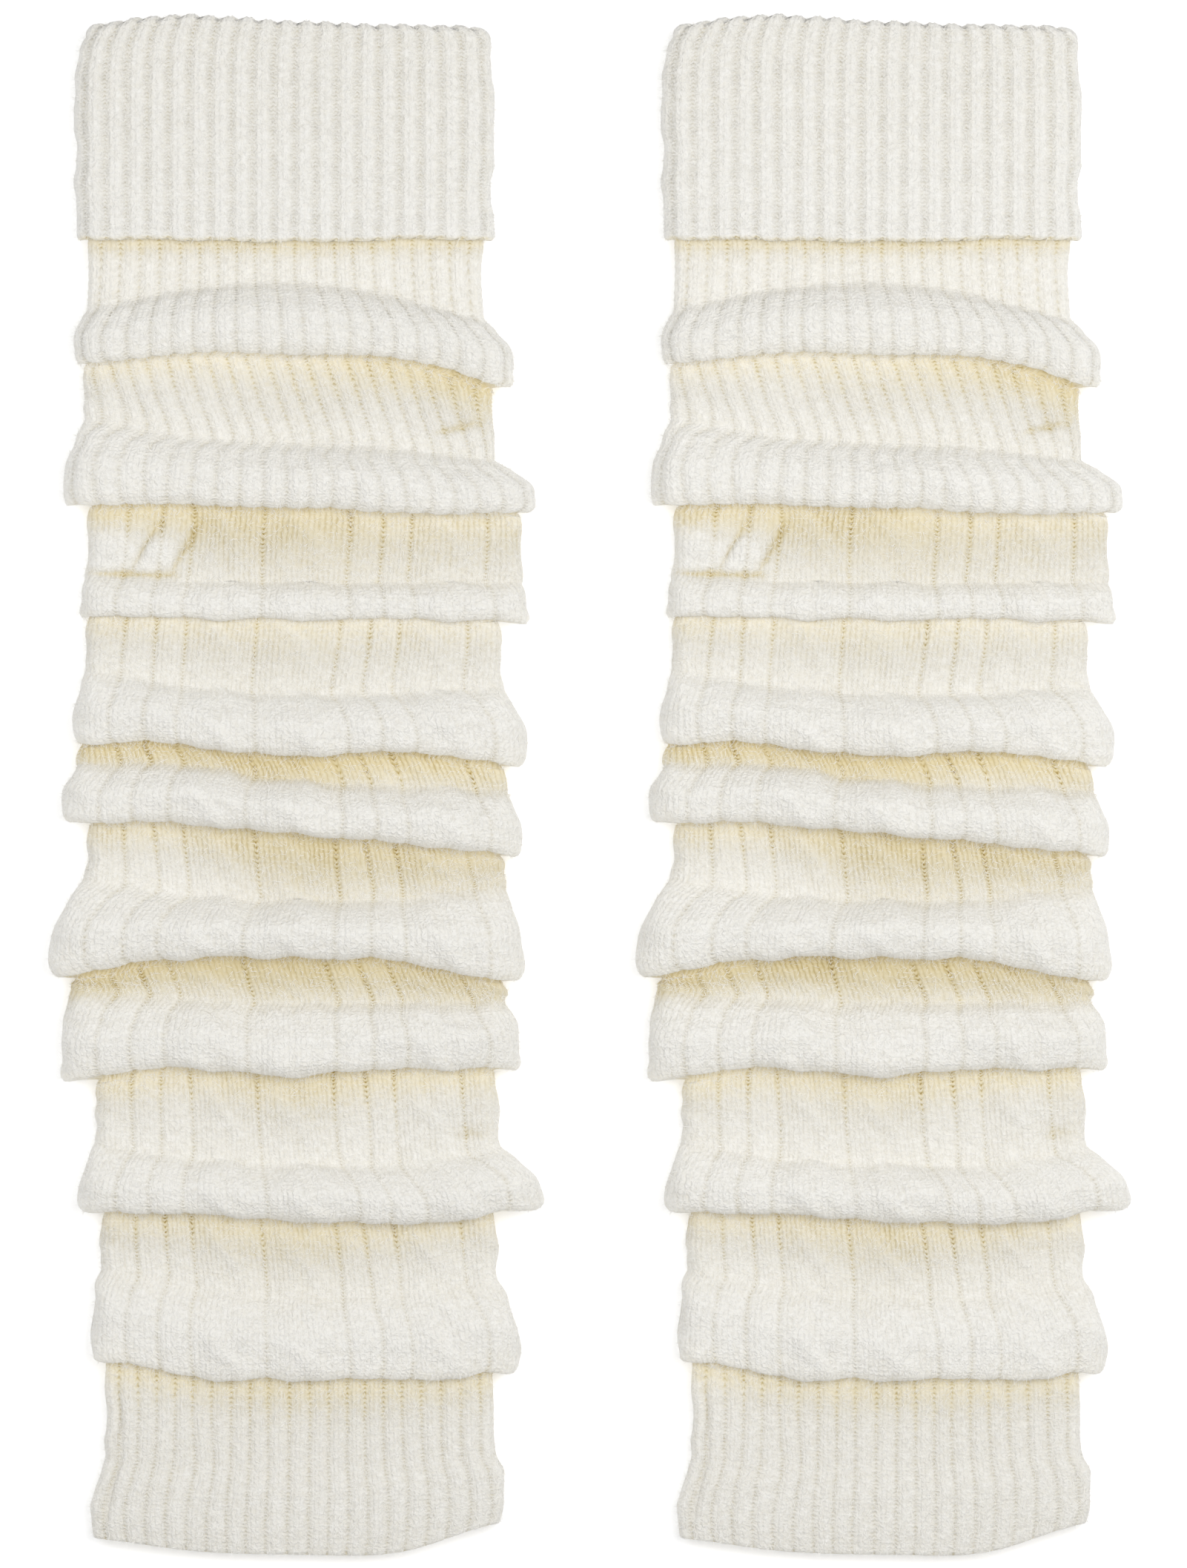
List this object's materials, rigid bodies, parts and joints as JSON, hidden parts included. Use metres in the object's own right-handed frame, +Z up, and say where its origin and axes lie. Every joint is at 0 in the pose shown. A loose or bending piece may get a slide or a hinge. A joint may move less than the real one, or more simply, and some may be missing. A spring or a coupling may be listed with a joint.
{
  "type": "pair of leg warmers",
  "caption": "Chunky knitted leg warmers with turned-down ribbed cuffs, cabled panels and ribbed ankles, lying flat side by side in slouchy folds.",
  "frame": {"origin": "centre of the pair's bounding box, on the surface that the leg warmers lie on", "axes": "+X from the left leg warmer to the right one, +Y from the ankle hems to the turned-down cuffs, +Z up off the surface"},
  "size_m": [0.3612, 0.5184, 0.0216],
  "materials": {
    "rib_knit": "soft matt ivory yarn in a 2x2 rib, lightly brushed",
    "cable_knit": "soft matt ivory yarn in smooth knit panels with cables, lightly brushed"
  },
  "bodies": {
    "root": {"left_cuff": "rib_knit", "left_rib_top": "rib_knit", "left_cable_leg": "cable_knit", "left_ankle_rib": "rib_knit", "right_cuff": "rib_knit", "right_rib_top": "rib_knit", "right_cable_leg": "cable_knit", "right_ankle_rib": "rib_knit"}
  },
  "joints": []
}
